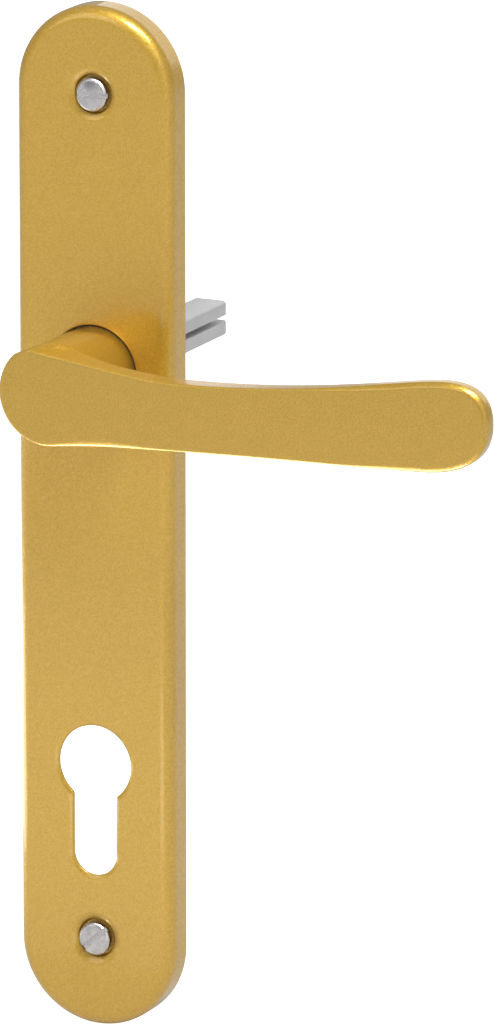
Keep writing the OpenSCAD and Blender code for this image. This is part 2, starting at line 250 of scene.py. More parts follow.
def circle(radius, count, centre=(0, 0)):
    """Closed circle of count points."""
    return arc(centre, radius, 0, 360, count)[:-1]


def square_outline(half, corner=0.5):
    """Square with rounded corners, anticlockwise."""
    points = []
    for i, (sx, sz) in enumerate(((1, 1), (-1, 1), (-1, -1), (1, -1))):
        centre = (sx * (half - corner), sz * (half - corner))
        points += arc(centre, corner, 90 * i, 90 * i + 90, 4)
    return points


def curve(p, count):
    """count points along a cubic curve from p[0], without its last point p[3].

    The two points between them, p[1] and p[2], are the handles that set its slope at each end."""
    points = []
    for i in range(count):
        t = i / count
        blend = ((1 - t) ** 3, 3 * t * (1 - t) ** 2, 3 * t * t * (1 - t), t ** 3)
        points.append(tuple(sum(b * q[k] for b, q in zip(blend, p)) for k in (0, 1)))
    return points


def ease(value, start, end):
    """Smooth step from 0 at start to 1 at end."""
    t = min(1.0, max(0.0, (value - start) / (end - start)))
    return t * t * (3 - 2 * t)


def blade_outline(head):
    """Lower edge, tip and upper edge of the grip, from the end of its round head to the waist."""
    points = curve([head, (30, -8.7), (64.1, -8.8), BELLY], 36)
    points += curve([BELLY, (102.5, -7.9), (TIP[0], TIP[1] - 5.9), TIP], 26)
    points += curve([TIP, (TIP[0], TIP[1] + 6.9), (101.7, 12.9), CREST], 26)
    points += curve([CREST, (84.6, 11.4), (64.5, 6.5), WAIST], 30)
    return points


def grip_front():
    """Outline of the grip's front face: its upper edge runs straight into the round head."""
    head = arc(HEAD_FRONT, HEAD_FRONT_R, HEAD_FROM, HEAD_TO, 60)
    top = curve([WAIST, (25.8, 5.4), (25.5, 5.6), BROW], 36)
    corner = curve([BROW, (-4.5, 9.8), (-7.1, 8.6), head[0]], 12)
    return head[:-1] + blade_outline(head[-1]) + top + corner


def head_back(start, end, count):
    """count + 1 points round the back of the head, which meets the neck above and stands out below."""
    points = []
    for i in range(count + 1):
        angle = start + (end - start) * i / count
        radius = HEAD_BACK_R + HEAD_JOWL * ease(angle, 110, 180)
        a = math.radians(angle)
        points.append((radius * math.cos(a), HEAD_BACK_Z + radius * math.sin(a)))
    return points


def grip_back():
    """Outline of the grip's back, point for point with its front."""
    head = head_back(HEAD_FROM, HEAD_TO, 60)
    cheek = head_back(CHEEK_FROM, HEAD_FROM, 12)
    top = curve([WAIST, (22.5, 5.2), (12.7, 6.9), cheek[0]], 36)
    return head[:-1] + blade_outline(head[-1]) + top + cheek[:-1]


def outward(points):
    """Unit normals of a closed anticlockwise outline."""
    result = []
    for i in range(len(points)):
        along = Vector(points[(i + 1) % len(points)]) - Vector(points[i - 1])
        along.normalize()
        result.append(Vector((along.y, -along.x)))
    return result


def inset_by(points, normals, amounts):
    """Outline moved inwards, each point by its own amount."""
    return [(p[0] - d * n.x, p[1] - d * n.y) for p, n, d in zip(points, normals, amounts)]


# ---- mesh tools ----

def ring(bm, outline, depth):
    """Vertices of an outline (x, z) placed at one depth y."""
    return [bm.verts.new((x, depth, z)) for x, z in outline]


def uneven_ring(bm, outline, depths):
    """Vertices of an outline (x, z), each placed at its own depth y."""
    return [bm.verts.new((x, depth, z)) for (x, z), depth in zip(outline, depths)]


def bridge(bm, a, b):
    """Band of quads between two closed rings of the same length."""
    n = len(a)
    for i in range(n):
        k = (i + 1) % n
        bm.faces.new((a[i], a[k], b[k], b[i]))


def loft(bm, rings):
    """Bands through a list of closed rings; returns the first and the last ring."""
    for a, b in zip(rings, rings[1:]):
        bridge(bm, a, b)
    return rings[0], rings[-1]


def fill(bm, *loops):
    """Flat face set bounded by an outer ring, with any inner rings as holes."""
    edges = []
    for loop in loops:
        for i, vert in enumerate(loop):
            after = loop[(i + 1) % len(loop)]
            edges.append(bm.edges.get((vert, after)) or bm.edges.new((vert, after)))
    bmesh.ops.triangle_fill(bm, use_beauty=True, use_dissolve=False, edges=edges)


def spin(bm, profile, count, centre=(0, 0)):
    """Surface turned round an axis along Y. The profile is a list of (radius, y)."""
    rings = []
    for radius, y in profile:
        if radius < 1e-6:
            rings.append([bm.verts.new((centre[0], y, centre[1]))])
        else:
            rings.append(ring(bm, circle(radius, count, centre), y))
    for a, b in zip(rings, rings[1:]):
        if len(a) == 1 or len(b) == 1:
            hub, rim = (a, b) if len(a) == 1 else (b, a)
            for i in range(count):
                bm.faces.new((hub[0], rim[i], rim[(i + 1) % count]))
        else:
            bridge(bm, a, b)
    return rings[0], rings[-1]


def roll(radius, steps):
    """Quarter round as (inset, depth) pairs, from the flat (radius, 0) out to the side (0, radius)."""
    result = []
    for i in range(steps + 1):
        a = math.radians(90 * i / steps)
        result.append((radius * (1 - math.sin(a)), radius * (1 - math.cos(a))))
    return result


def soft_edge(width, deep, steps):
    """Edge between a chamfer and a round, as (inset, depth) pairs from the flat out to the side."""
    result = []
    for i in range(steps + 1):
        a = math.radians(90 * i / steps)
        across = 1 - math.sin(a) ** EDGE_FLAT
        result.append((width * across, deep * (1 - math.cos(a) ** EDGE_FLAT)))
    return result


def shade_by_angle(mesh):
    """Smooth shading, with the edges sharper than SHARP_ANGLE kept sharp."""
    for face in mesh.polygons:
        face.use_smooth = True
    mesh.set_sharp_from_angle(angle=math.radians(SHARP_ANGLE))


def finish_mesh(bm, name):
    """New object from a mesh drawn in millimetres, closed, with smooth and sharp edges by angle."""
    bmesh.ops.remove_doubles(bm, verts=bm.verts, dist=1e-4)
    bmesh.ops.dissolve_degenerate(bm, edges=bm.edges, dist=1e-5)
    bmesh.ops.recalc_face_normals(bm, faces=bm.faces)
    bm.transform(Matrix.Scale(MM, 4))
    mesh = bpy.data.meshes.new(name)
    bm.to_mesh(mesh)
    bm.free()
    shade_by_angle(mesh)
    made = bpy.data.objects.new(name, mesh)
    bpy.context.scene.collection.objects.link(made)
    return made


def cut(target, cutter):
    """Takes the cutter's solid out of the target for good, and removes the cutter."""
    step = target.modifiers.new("cut", "BOOLEAN")
    step.operation = "DIFFERENCE"
    step.solver = "EXACT"
    step.object = cutter
    bpy.context.view_layer.update()
    cleaned = target.evaluated_get(bpy.context.evaluated_depsgraph_get())
    mesh = bpy.data.meshes.new_from_object(cleaned)
    target.modifiers.clear()
    target.data = mesh
    bpy.data.objects.remove(cutter)
    shade_by_angle(mesh)


def piece(made, body, material, node):
    """Gives a finished object its material and its body, and hides the CAD node that it replaces."""
    made.data.materials.clear()
    made.data.materials.append(material)
    if body is not None:
        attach(made, body)
    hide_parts(node)
    return made


# ---- material tools ----

class Shader:
    """A node material with one principled shader, and short calls for adding nodes."""

    def __init__(self, name):
        self.material = bpy.data.materials.new(name)
        self.material.use_nodes = True
        self.tree = self.material.node_tree
        self.main = self.tree.nodes["Principled BSDF"]
        coords = self.add("ShaderNodeTexCoord")
        scale = self.add("ShaderNodeVectorMath", operation="SCALE")
        self.link(coords.outputs["Object"], scale.inputs[0])
        scale.inputs["Scale"].default_value = 1 / MM
        self.mm = scale.outputs[0]

    def add(self, kind, **settings):
        """New shader node of a kind, with its properties set."""
        node = self.tree.nodes.new(kind)
        for key, value in settings.items():
            setattr(node, key, value)
        return node

    def link(self, source, target):
        """Joins an output socket to an input socket."""
        self.tree.links.new(source, target)

    def set(self, **values):
        """Sets inputs of the principled shader; underscores stand for spaces."""
        for key, value in values.items():
            self.main.inputs[key.replace("_", " ")].default_value = value

    def stretched(self, x, y, z):
        """Coordinates in millimetres, scaled along each axis."""
        node = self.add("ShaderNodeVectorMath", operation="MULTIPLY")
        self.link(self.mm, node.inputs[0])
        node.inputs[1].default_value = (x, y, z)
        return node.outputs[0]

    def noise(self, scale, detail=2.0, coords=None):
        """Noise with scale in cycles a millimetre; its mean is about 0.5."""
        node = self.add("ShaderNodeTexNoise")
        self.link(coords or self.mm, node.inputs["Vector"])
        node.inputs["Scale"].default_value = scale
        node.inputs["Detail"].default_value = detail
        return node.outputs["Fac"]

    def cells(self, size):
        """A random colour for each cell of about that size, in millimetres."""
        node = self.add("ShaderNodeTexVoronoi", feature="F1")
        self.link(self.mm, node.inputs["Vector"])
        node.inputs["Scale"].default_value = 1 / size
        return node.outputs["Color"]

    def spread(self, value, low, high, from_low=0.25, from_high=0.75):
        """Maps a value linearly on to low..high."""
        node = self.add("ShaderNodeMapRange")
        self.link(value, node.inputs["Value"])
        node.inputs["From Min"].default_value = from_low
        node.inputs["From Max"].default_value = from_high
        node.inputs["To Min"].default_value = low
        node.inputs["To Max"].default_value = high
        return node.outputs["Result"]

    def times(self, a, b):
        """Product of two values."""
        node = self.add("ShaderNodeMath", operation="MULTIPLY")
        self.link(a, node.inputs[0])
        self.link(b, node.inputs[1])
        return node.outputs[0]

    def shade(self, colour, value):
        """A colour made lighter or darker by a value round 1."""
        node = self.add("ShaderNodeVectorMath", operation="SCALE")
        if isinstance(colour, tuple):
            node.inputs[0].default_value = colour
        else:
            self.link(colour, node.inputs[0])
        self.link(value, node.inputs["Scale"])
        return node.outputs[0]

    def mix(self, amount, a, b):
        """Colour that goes from a to b as the amount goes from 0 to 1."""
        node = self.add("ShaderNodeMix", data_type="RGBA")
        inputs = {socket.name: socket for socket in node.inputs if socket.enabled}
        self.link(amount, inputs["Factor"])
        inputs["A"].default_value = (*a, 1)
        inputs["B"].default_value = (*b, 1)
        return next(socket for socket in node.outputs if socket.enabled)

    def bump(self, height, depth, after=None):
        """Normal bumped by a height value, with depth in millimetres, on top of another if given."""
        node = self.add("ShaderNodeBump")
        self.link(height, node.inputs["Height"])
        node.inputs["Distance"].default_value = depth * MM
        if after is not None:
            self.link(after, node.inputs["Normal"])
        return node.outputs["Normal"]

    def to(self, name, value):
        """Feeds a value into a named input of the principled shader."""
        self.link(value, self.main.inputs[name])


def scattered_normal(shader, size, amount):
    """Normal tilted at random in each small cell, as metal flakes lie in lacquer."""
    cells = shader.cells(size)
    centred = shader.add("ShaderNodeVectorMath", operation="SUBTRACT")
    shader.link(cells, centred.inputs[0])
    centred.inputs[1].default_value = (0.5, 0.5, 0.5)
    scaled = shader.add("ShaderNodeVectorMath", operation="SCALE")
    shader.link(centred.outputs[0], scaled.inputs[0])
    scaled.inputs["Scale"].default_value = amount
    geometry = shader.add("ShaderNodeNewGeometry")
    total = shader.add("ShaderNodeVectorMath", operation="ADD")
    shader.link(geometry.outputs["Normal"], total.inputs[0])
    shader.link(scaled.outputs[0], total.inputs[1])
    unit = shader.add("ShaderNodeVectorMath", operation="NORMALIZE")
    shader.link(total.outputs[0], unit.inputs[0])
    return unit.outputs[0]


# ---- materials: colours are linear, and each tone of flake is a factor for the lacquer's colour ----

DULL_FLAKE = (0.9, 0.89, 0.45)
BRIGHT_FLAKE = (1.1, 1.11, 1.55)


def gold_lacquer(name, colour, roughness):
    """Satin gold lacquer with fine metal flake and a faint orange peel."""
    s = Shader(name)
    dull = tuple(f * c for f, c in zip(DULL_FLAKE, colour))
    bright = tuple(f * c for f, c in zip(BRIGHT_FLAKE, colour))
    flake = s.mix(s.spread(s.noise(2.4, detail=2.0), 0.0, 1.0, 0.32, 0.68), dull, bright)
    cloud = s.spread(s.noise(0.5, detail=3.0), 0.98, 1.02)
    s.to("Base Color", s.shade(flake, cloud))
    s.set(Metallic=0.6, Coat_Weight=1.0, Coat_Roughness=0.1, Coat_IOR=1.6)
    s.to("Roughness", s.spread(s.noise(0.9), roughness - 0.03, roughness + 0.03))
    normal = scattered_normal(s, 0.2, 0.2)
    peel = s.noise(0.9, detail=2.0)
    s.to("Normal", s.bump(peel, 0.02, after=normal))
    s.to("Coat Normal", s.bump(peel, 0.012))
    return s.material


def turned_steel(name):
    """Bright plated steel whose turning rings spread highlights outwards from the axis."""
    s = Shader(name)
    stain = s.spread(s.noise(0.7, detail=4.0), 0.86, 1.06)
    s.to("Base Color", s.shade((0.68, 0.66, 0.665), stain))
    s.set(Metallic=1.0, Anisotropic=0.85)
    s.to("Roughness", s.spread(s.noise(1.2, detail=3.0), 0.22, 0.34))
    tangent = s.add("ShaderNodeTangent", direction_type="RADIAL", axis="Y")
    s.to("Tangent", tangent.outputs["Tangent"])
    s.to("Normal", s.bump(s.noise(2.0, detail=3.0), 0.004))
    return s.material


def drawn_metal(name, colour, roughness, along=(14.0, 0.25, 14.0), metallic=1.0):
    """Plated bar with fine lines along its length."""
    s = Shader(name)
    lines = s.noise(1.0, detail=4.0, coords=s.stretched(*along))
    blotch = s.spread(s.noise(0.25, detail=3.0), 0.93, 1.05)
    s.to("Base Color", s.shade(colour, s.times(blotch, s.spread(lines, 0.95, 1.04))))
    s.set(Metallic=metallic)
    s.to("Roughness", s.spread(lines, roughness - 0.07, roughness + 0.1))
    s.to("Normal", s.bump(lines, 0.012))
    return s.material


def moulded_plastic(name, colour, roughness, grain=0.02):
    """Moulded plastic with a fine spark-eroded grain and faint flow marks."""
    s = Shader(name)
    flow = s.spread(s.noise(0.09, detail=4.0), 0.92, 1.08)
    s.to("Base Color", s.shade(colour, flow))
    s.set(Metallic=0.0, Specular_IOR_Level=0.5)
    s.to("Roughness", s.spread(s.noise(2.2, detail=3.0), roughness - 0.06, roughness + 0.08))
    s.to("Normal", s.bump(s.noise(4.5, detail=3.0), grain))
    return s.material


def plated_steel(name, colour, roughness):
    """Zinc-plated pressed steel with a faint spangle and rolled grain."""
    s = Shader(name)
    spangle = s.spread(s.noise(0.5, detail=3.0), 0.9, 1.06)
    s.to("Base Color", s.shade(colour, spangle))
    s.set(Metallic=1.0)
    s.to("Roughness", s.spread(s.noise(1.2, detail=4.0), roughness - 0.06, roughness + 0.1))
    s.to("Normal", s.bump(s.noise(3.0, detail=4.0), 0.008))
    return s.material


gold_plate = gold_lacquer("gold_lacquer_plate", (0.66, 0.40, 0.042), 0.42)
gold_lever = gold_lacquer("gold_lacquer_lever", (0.585, 0.352, 0.034), 0.40)
screw_steel = turned_steel("turned_screw_steel")
bar_metal = drawn_metal("drawn_spindle_metal", (0.64, 0.64, 0.645), 0.42, metallic=0.55)
spring_wire = drawn_metal("spring_wire", (0.42, 0.41, 0.40), 0.32, along=(6.0, 6.0, 6.0))
base_nylon = moulded_plastic("moulded_base_nylon", (0.085, 0.088, 0.092), 0.55)
white_plastic = moulded_plastic("white_acetal", (0.78, 0.78, 0.75), 0.42, grain=0.01)
cassette_metal = plated_steel("zinc_plated_cassette", (0.58, 0.58, 0.57), 0.34)
pin_metal = plated_steel("pin_steel", (0.5, 0.5, 0.5), 0.3)
driver_metal = plated_steel("driver_zinc", (0.5, 0.49, 0.47), 0.4)
ring_metal = plated_steel("phosphated_ring_steel", (0.12, 0.12, 0.125), 0.38)
grub_metal = plated_steel("black_grub_steel", (0.06, 0.06, 0.065), 0.36)


# ---- pieces ----

def screw_z(node):
    """Height of a fixing screw's axis."""
    low, high = mm_box(node)
    return (low.z + high.z) / 2


def dimple_rings(bm, z, lip):
    """Front and back rings of a pressed dimple with a screw hole, joined by its walls."""
    floor = FRONT_Y + DIMPLE_DEEP
    under = floor + SHEET
    outer = DIMPLE_R + SHEET
    bend = DIMPLE_BEND
    fillet = 0.4
    hold = [(DIMPLE_R + lip + HOLD, FRONT_Y)]
    rolled = soft_edge(lip, lip * LIP_SLOPE, 12)
    top = [(DIMPLE_R + inset, FRONT_Y + depth) for inset, depth in rolled]
    wall = arc((DIMPLE_R - bend, floor - bend), bend, 0, 90, 5)
    hole = [(SCREW_HOLE_R + 0.1, floor), (SCREW_HOLE_R, floor + 0.1), (SCREW_HOLE_R, under)]
    back = [(outer - bend - 0.2, under)]
    back += arc((outer - bend, under - bend), bend, 90, 0, 5)
    back += [(outer, SHEET_Y + fillet), (outer + 0.3 * fillet, SHEET_Y + 0.3 * fillet)]
    back += [(outer + fillet, SHEET_Y)]
    return spin(bm, hold + top + wall + hole + back, HEAD_SIDES, centre=(0, z))


def cover_plate():
    """Pressed cover: rolled edge, thin wall, hollow back, neck hole, dimples and cutout."""
    bm = bmesh.new()
    inner_r = EDGE_R - SHEET
    halfway = RIM_R * 0.3
    sweep = [(EDGE_R + HOLD, FRONT_Y)]
    sweep += [(inset, FRONT_Y + depth) for inset, depth in roll(EDGE_R, 14)]
    sweep += [(0, FRONT_Y + EDGE_R + HOLD), (0, -RIM_R - HOLD), (0, -RIM_R)]
    sweep += [(halfway, -halfway), (RIM_R, 0)]
    sweep += [(SHEET - RIM_R, 0), (SHEET - halfway, -halfway), (SHEET, -RIM_R)]
    sweep += [(SHEET + inset, SHEET_Y + depth) for inset, depth in reversed(roll(inner_r, 8))]
    sweep += [(SHEET + inner_r + HOLD, SHEET_Y)]
    front, back = loft(bm, [ring(bm, stadium(inset), y) for inset, y in sweep])

    rolled = soft_edge(EURO_LIP, EURO_LIP * LIP_SLOPE, 8)
    cut_sweep = [(EURO_LIP + 0.2, FRONT_Y)]
    cut_sweep += [(inset, FRONT_Y + depth) for inset, depth in rolled]
    cut_sweep += [(0, SHEET_Y - HOLE_EDGE), (HOLE_EDGE, SHEET_Y), (0.3, SHEET_Y)]
    cut_front, cut_back = loft(bm, [ring(bm, euro(grow), y) for grow, y in cut_sweep])

    neck = [(NECK_HOLE_R + NECK_LIP + HOLD, FRONT_Y)]
    neck += [(NECK_HOLE_R + inset, FRONT_Y + depth) for inset, depth in roll(NECK_LIP, 5)]
    neck += [(NECK_HOLE_R, SHEET_Y - HOLE_EDGE), (NECK_HOLE_R + HOLE_EDGE, SHEET_Y)]
    neck_front, neck_back = spin(bm, neck, NECK_SIDES)

    upper_front, upper_back = dimple_rings(bm, screw_z("upper_fixing_screw"), UPPER_DIMPLE_LIP)
    lower_front, lower_back = dimple_rings(bm, screw_z("lower_fixing_screw"), LOWER_DIMPLE_LIP)
    fill(bm, front, cut_front, neck_front, upper_front, lower_front)
    fill(bm, back, cut_back, neck_back, upper_back, lower_back)
    made = finish_mesh(bm, "cover_plate_pressed")
    return piece(made, "plate", gold_plate, "cover_plate")


def front_rounding(point, normal):
    """Radius of the grip's front edge: small by the neck, larger under the head and at the tip."""
    under_head = CHIN_R * math.exp(-((point[0] - CHIN_X) / CHIN_WIDTH) ** 2)
    upper = FRONT_EDGE_MIN + FRONT_EDGE_GAIN * ease(point[0], 60, 85)
    lower = FRONT_EDGE_MIN + under_head + FRONT_EDGE_GAIN * ease(point[0], 70, 90)
    return lower + (upper - lower) * ease(normal.y, -1, 1)


def back_rounding(point):
    """Radius of the grip's back edge, which grows from the neck to the tip."""
    return BACK_EDGE_MIN + BACK_EDGE_GAIN * ease(point[0], 15, 95)


def grip_rings(bm):
    """Rings of the grip from its front face round to its back face.

    Each is a list of vertices: first the front edge, then the side, then the back edge."""
    front_steps = 10
    side_steps = 7
    back_steps = 8
    front = grip_front()
    back = grip_back()
    normals = outward(front)
    back_normals = outward(back)
    front_r = [front_rounding(p, n) for p, n in zip(front, normals)]
    front_d = [r * (FRONT_EDGE_LOW + (1 - FRONT_EDGE_LOW) * ease(n.y, -0.6, 0.6))
               for r, n in zip(front_r, normals)]
    back_r = [back_rounding(p) for p in back]
    rings = [ring(bm, inset_by(front, normals, [r + HOLD for r in front_r]), GRIP_FRONT)]
    for i in range(front_steps + 1):
        a = math.radians(90 * i / front_steps)
        across = math.sin(a) ** EDGE_FLAT
        along = math.cos(a) ** EDGE_FLAT
        points = inset_by(front, normals, [r * (1 - across) for r in front_r])
        depths = [GRIP_FRONT + d * (1 - along) for d in front_d]
        rings.append(uneven_ring(bm, points, depths))
    for i in range(1, side_steps):
        t = i / side_steps
        points = [(p[0] + (q[0] - p[0]) * t, p[1] + (q[1] - p[1]) * t)
                  for p, q in zip(front, back)]
        depths = [GRIP_FRONT + d + (GRIP_T - d - r) * t for d, r in zip(front_d, back_r)]
        rings.append(uneven_ring(bm, points, depths))
    for i in range(back_steps + 1):
        a = math.radians(90 * i / back_steps)
        points = inset_by(back, back_normals, [r * (1 - math.cos(a)) for r in back_r])
        depths = [GRIP_BACK - r * (1 - math.sin(a)) for r in back_r]
        rings.append(uneven_ring(bm, points, depths))
    return rings


def flatted(bevel):
    """Outline of the spigot where it has two flats, shrunk by a bevel."""
    half = FLAT_HALF - bevel
    points = circle(SPIGOT_R - bevel, NECK_SIDES)
    return [(x, max(-half, min(half, z))) for x, z in points]


def lever():
    """Cast lever: flat grip with rounded edges, neck, turned spigot, socket and grub hole."""
    bm = bmesh.new()
    front, back = loft(bm, grip_rings(bm))
    bm.faces.new(front)

    turned = [(NECK_FRONT_R, GRIP_BACK), (NECK_FRONT_R - 0.02, GRIP_BACK + 0.6)]
    turned += [(NECK_R, NECK_END - NECK_EDGE), (NECK_R - 0.1, NECK_END - 0.1)]
    turned += [(NECK_R - NECK_EDGE, NECK_END), (SPIGOT_R, NECK_END), (SPIGOT_R, GROOVE[0])]
    turned += [(GROOVE_R, GROOVE[0]), (GROOVE_R, GROOVE[1]), (SPIGOT_R, GROOVE[1])]
    turned += [(SPIGOT_R, FLATS_FROM)]
    neck, shoulder = spin(bm, turned, NECK_SIDES)
    fill(bm, back, neck)
    flats = [ring(bm, flatted(0), FLATS_FROM), ring(bm, flatted(0), SPIGOT_END - SPIGOT_BEVEL)]
    flats.append(ring(bm, flatted(SPIGOT_BEVEL), SPIGOT_END))
    _, end = loft(bm, [shoulder] + flats)
    mouth = ring(bm, square_outline(SOCKET_HALF + SOCKET_MOUTH), SPIGOT_END)
    throat = ring(bm, square_outline(SOCKET_HALF), SPIGOT_END - SOCKET_MOUTH)
    bottom = ring(bm, square_outline(SOCKET_HALF), SOCKET_END)
    loft(bm, [mouth, throat, bottom])
    fill(bm, end, mouth)
    bm.faces.new(bottom)
    made = finish_mesh(bm, "lever_cast")

    hole = bmesh.new()
    outside = -NECK_R - 1
    inside = -1
    profile = [(0, outside), (GRUB_R + GRUB_SINK, outside), (GRUB_R, outside + GRUB_SINK)]
    profile += [(GRUB_R, inside), (0, inside)]
    spin(hole, profile, 48)
    hole.transform(Matrix.Rotation(math.radians(90), 4, "X"))
    hole.transform(Matrix.Translation((0, GRUB_Y, 0)))
    cut(made, finish_mesh(hole, "grub_hole_cutter"))
    return piece(made, "lever", gold_lever, "lever_handle")


def thread(bm, z, start, end):
    """Rolled thread as a grid whose rows climb with the helix, from a ring at start to one at end."""
    root = SCREW_R - THREAD_DEPTH
    radii = (root, SCREW_R, SCREW_R, root)
    rows = len(radii)
    total = (math.ceil((end - start) / PITCH) + 2) * rows + 1
    columns = []
    for i in range(THREAD_SIDES):
        a = TAU * i / THREAD_SIDES
        column = []
        for j in range(total):
            y = start + (j / rows + i / THREAD_SIDES - 1) * PITCH
            height = radii[j % rows] - root if start < y < end else 0.0
            radius = root + height * min(1.0, max(0.0, (end - y) / PITCH))
            y = min(end, max(start, y))
            column.append(bm.verts.new((radius * math.cos(a), y, z + radius * math.sin(a))))
        columns.append(column)
    for i, here in enumerate(columns):
        there = columns[(i + 1) % THREAD_SIDES]
        shift = rows if i + 1 == THREAD_SIDES else 0
        for j in range(total - 1 - shift):
            bm.faces.new((here[j], there[j + shift], there[j + shift + 1], here[j + 1]))


def box_cutter(low, high, turn=0.0, centre=(0, 0, 0)):
    """Plain box for cutting, turned about an axis along Y through a centre, in millimetres."""
    bm = bmesh.new()
    bmesh.ops.create_cube(bm, size=1.0)
    for vert in bm.verts:
        vert.co = Vector(lo if c < 0 else hi for c, lo, hi in zip(vert.co, low, high))
    bm.transform(Matrix.Rotation(-math.radians(turn), 4, "Y"))
    bm.transform(Matrix.Translation(centre))
    return finish_mesh(bm, "box_cutter")


def fixing_screw(node, slot_turn):
    """Slotted cheese-head screw with a turned head and a rolled metric thread."""
    z = screw_z(node)
    low, high = mm_box(node)
    head_r = (high.x - low.x) / 2
    front = low.y
    seat = FRONT_Y + DIMPLE_DEEP
    root = SCREW_R - THREAD_DEPTH
    bm = bmesh.new()
    crown = [(0, front), (head_r - HEAD_BEVEL - 0.1, front), (head_r - HEAD_BEVEL, front + 0.03)]
    rim = [(head_r - 0.08, front + HEAD_BEVEL - 0.05), (head_r, front + HEAD_BEVEL + 0.06)]
    under = [(head_r, seat - HEAD_EDGE), (head_r - HEAD_EDGE, seat)]
    _, underside = spin(bm, crown + rim + under, HEAD_SIDES, centre=(0, z))
    body = [(SHANK_R + SHANK_FILLET, seat), (SHANK_R, seat + SHANK_FILLET)]
    body += [(SHANK_R, THREAD_FROM), (root, THREAD_FROM)]
    shank_front, _ = spin(bm, body, THREAD_SIDES, centre=(0, z))
    fill(bm, underside, shank_front)
    thread(bm, z, THREAD_FROM, high.y)
    spin(bm, [(root, high.y), (0, high.y)], THREAD_SIDES, centre=(0, z))
    made = finish_mesh(bm, node + "_turned")
    slot_low = (-head_r - 1, front - 1, -SLOT_W / 2)
    slot_high = (head_r + 1, front + SLOT_DEEP, SLOT_W / 2)
    cut(made, box_cutter(slot_low, slot_high, slot_turn, (0, 0, z)))
    piece(made, "plate", screw_steel, node)


def spindle():
    """Drawn square bar with soft edges, bevelled ends and a level saw cut."""
    half = (spindle_high.x - spindle_low.x) / 2
    near, far = spindle_low.y, spindle_high.y
    bm = bmesh.new()
    plain = far - near - 2 * BAR_TAPER
    sections = [(half - BAR_TAPER, near), (half, near + BAR_TAPER)]
    sections += [(half, near + BAR_TAPER + plain * i / 6) for i in range(1, 6)]
    sections += [(half, far - BAR_TAPER), (half - 0.1, far - 0.85), (half - 0.75, far)]
    rings = [ring(bm, square_outline(size, corner=BAR_CORNER), y) for size, y in sections]
    first, last = loft(bm, rings)
    bm.faces.new(first)
    bm.faces.new(last)
    made = finish_mesh(bm, "spindle_drawn")
    split_low = (-half - 1, far - SPLIT_LEN, -SPLIT_W / 2)
    split_high = (half + 1, far + 1, SPLIT_W / 2)
    cut(made, box_cutter(split_low, split_high))
    piece(made, "lever", bar_metal, "spindle")


def wire(bm, path):
    """Round wire along a path of points, with flat ends. Y must not be the path's direction."""
    rings = []
    for i, point in enumerate(path):
        along = path[min(i + 1, len(path) - 1)] - path[max(i - 1, 0)]
        across = along.cross(Vector((0, 1, 0))).normalized()
        up = across.cross(along).normalized()
        angles = [TAU * k / WIRE_SIDES for k in range(WIRE_SIDES)]
        rings.append([bm.verts.new(point + WIRE_R * (across * math.cos(a) + up * math.sin(a)))
                      for a in angles])
    first, last = loft(bm, rings)
    bm.faces.new(first)
    bm.faces.new(last)


def polar(angle, radius, y):
    """Point round the lever axis, with the angle in degrees from +X towards +Z."""
    a = math.radians(angle)
    return Vector((radius * math.cos(a), y, radius * math.sin(a)))


def return_spring():
    """Torsion spring: a coil of round wire whose legs reach the anchor pin and the driver's lug."""
    bm = bmesh.new()
    steps = 220
    end = COIL_FROM + COIL_SWEEP
    path = [polar(COIL_FROM, LEG_R, COIL_FRONT), polar(COIL_FROM, COIL_BEND_R, COIL_FRONT)]
    for i in range(4, steps - 3):
        t = i / steps
        depth = COIL_FRONT + (COIL_BACK - COIL_FRONT) * t
        path.append(polar(COIL_FROM + COIL_SWEEP * t, COIL_R, depth))
    path += [polar(end, COIL_BEND_R, COIL_BACK), polar(end, LEG_R, COIL_BACK)]
    wire(bm, path)
    made = finish_mesh(bm, "return_spring_coil")
    piece(made, None, spring_wire, "return_spring")
    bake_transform(made)


def softened(node, material, width):
    """Copy of a CAD node with its sharp edges broken by a small bevel."""
    body = frame["nodes"][node]["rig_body"]
    bm = bmesh.new()
    bm.from_mesh(frame["nodes"][node].data)
    bm.transform(Matrix.Scale(1 / MM, 4))
    bmesh.ops.remove_doubles(bm, verts=bm.verts, dist=2e-3)
    bmesh.ops.dissolve_limit(bm, angle_limit=math.radians(1), verts=bm.verts, edges=bm.edges)
    sharp = [e for e in bm.edges if e.is_manifold and e.calc_face_angle() > math.radians(35)]
    bmesh.ops.bevel(bm, geom=sharp, offset=width, segments=2, profile=0.5,
                    affect="EDGES", clamp_overlap=True)
    made = finish_mesh(bm, node + "_finished")
    piece(made, body, material, node)


pressed_cover = cover_plate()
cast_lever = lever()
fixing_screw("upper_fixing_screw", 0)
fixing_screw("lower_fixing_screw", LOWER_SLOT_TURN)
spindle()
return_spring()
softened("base_plate", base_nylon, 0.2)
softened("cassette_cup", cassette_metal, 0.12)
softened("cassette_lid", cassette_metal, 0.08)
softened("stop_pins", pin_metal, 0.1)
softened("neck_bush", base_nylon, 0.06)
softened("thrust_washer", white_plastic, 0.04)
softened("upper_screw_washer", white_plastic, 0.12)
softened("lower_screw_washer", white_plastic, 0.12)
softened("spindle_grub_screw", grub_metal, 0.06)
softened("spring_driver", driver_metal, 0.12)
softened("spring_washer", spring_wire, 0.03)
softened("retaining_ring", ring_metal, 0.08)


# ---- studio: places in metres, angles in degrees, powers in watts ----

AIM = (0.0339, 0.0, -0.03017)
VIEW_AZIMUTH = 25.15
VIEW_ELEVATION = 14.04
VIEW_DISTANCE = 2.2
LENS = 349.93
SENSOR = 36.0
FLOOR = plate_low.z * MM - 0.0005
FLOOR_HALF = 3.0
FLOOR_GLOW = 0.18
TABLE_LIFT = 0.002
DIMPLE_LIFT = 0.003
RIM_LIFT = 0.004
WHITE = 1.0
AMBIENT = 0.33


